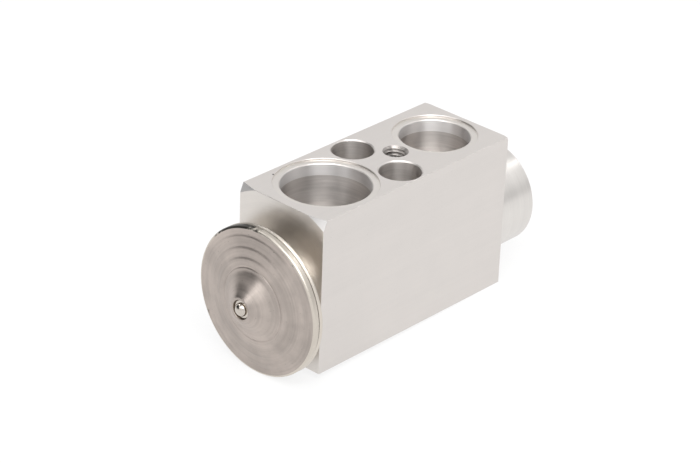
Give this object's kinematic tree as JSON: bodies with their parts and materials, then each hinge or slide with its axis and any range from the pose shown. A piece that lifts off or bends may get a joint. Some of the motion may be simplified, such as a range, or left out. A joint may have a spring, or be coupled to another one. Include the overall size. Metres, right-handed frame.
{
  "type": "expansion valve",
  "caption": "Block-type thermostatic expansion valve: aluminium block with ports and bolt holes, round diaphragm head on one end, adjuster boss on the other",
  "frame": {"origin": "centre of the two-hole bolt pattern, on the evaporator-side face of the block", "axes": "+X along the valve from the diaphragm head to the adjuster boss, +Z from the evaporator side to the pipe side, +Y across the block"},
  "size_m": [0.094, 0.0388, 0.0437],
  "materials": {
    "machined_aluminium": "fine-milled, satin, uncoated",
    "cover_steel": "stamped stainless steel, faint concentric rings",
    "housing_steel": "turned stainless steel, slightly warm",
    "plug_steel": "bright steel",
    "spring_steel": "thin stainless sheet",
    "plate_brass": "turned brass",
    "seal_rubber": "matt rubber",
    "rod_aluminium": "turned aluminium",
    "sleeve_plastic": "moulded plastic",
    "pin_steel": "ground steel",
    "carrier_steel": "turned steel",
    "screw_brass": "turned brass"
  },
  "bodies": {
    "valve_block": {"valve_body": "machined_aluminium", "head_cover": "cover_steel", "head_housing": "housing_steel", "charge_plug": "plug_steel", "diaphragm": "spring_steel", "head_seal": "seal_rubber", "pin_seal": "seal_rubber", "seal_washer": "pin_steel", "push_nut": "spring_steel"},
    "push_rod": {"diaphragm_plate": "plate_brass", "sensing_rod": "rod_aluminium", "rod_sleeve": "sleeve_plastic", "push_pin": "pin_steel", "valve_ball": "pin_steel", "ball_carrier": "carrier_steel", "damping_spring": "spring_steel"},
    "adjuster_slide": {"spring_seat": "carrier_steel", "superheat_spring": "spring_steel"},
    "adjuster": {"adjusting_screw": "screw_brass", "adjuster_seal": "seal_rubber"}
  },
  "joints": [
    {"name": "valve_stroke", "type": "slide", "parent": "valve_block", "child": "push_rod", "axis": [1, 0, 0], "range_m": [0, 0.0008], "stiffness_N_per_m": 9000, "deforming": ["diaphragm", "superheat_spring"]},
    {"name": "adjuster_advance", "type": "slide", "parent": "valve_block", "child": "adjuster_slide", "axis": [1, 0, 0], "range_m": [-0.001, 0.001], "deforming": ["superheat_spring"]},
    {"name": "adjuster_turn", "type": "hinge", "parent": "adjuster_slide", "child": "adjuster", "pos_m": [0.0365, 0, 0.0175], "axis": [1, 0, 0], "range_deg": [-361, 361]}
  ],
  "couplings": [
    {"joint": "adjuster_turn", "follows": "adjuster_advance", "rad_per_m": 6283.2}
  ]
}
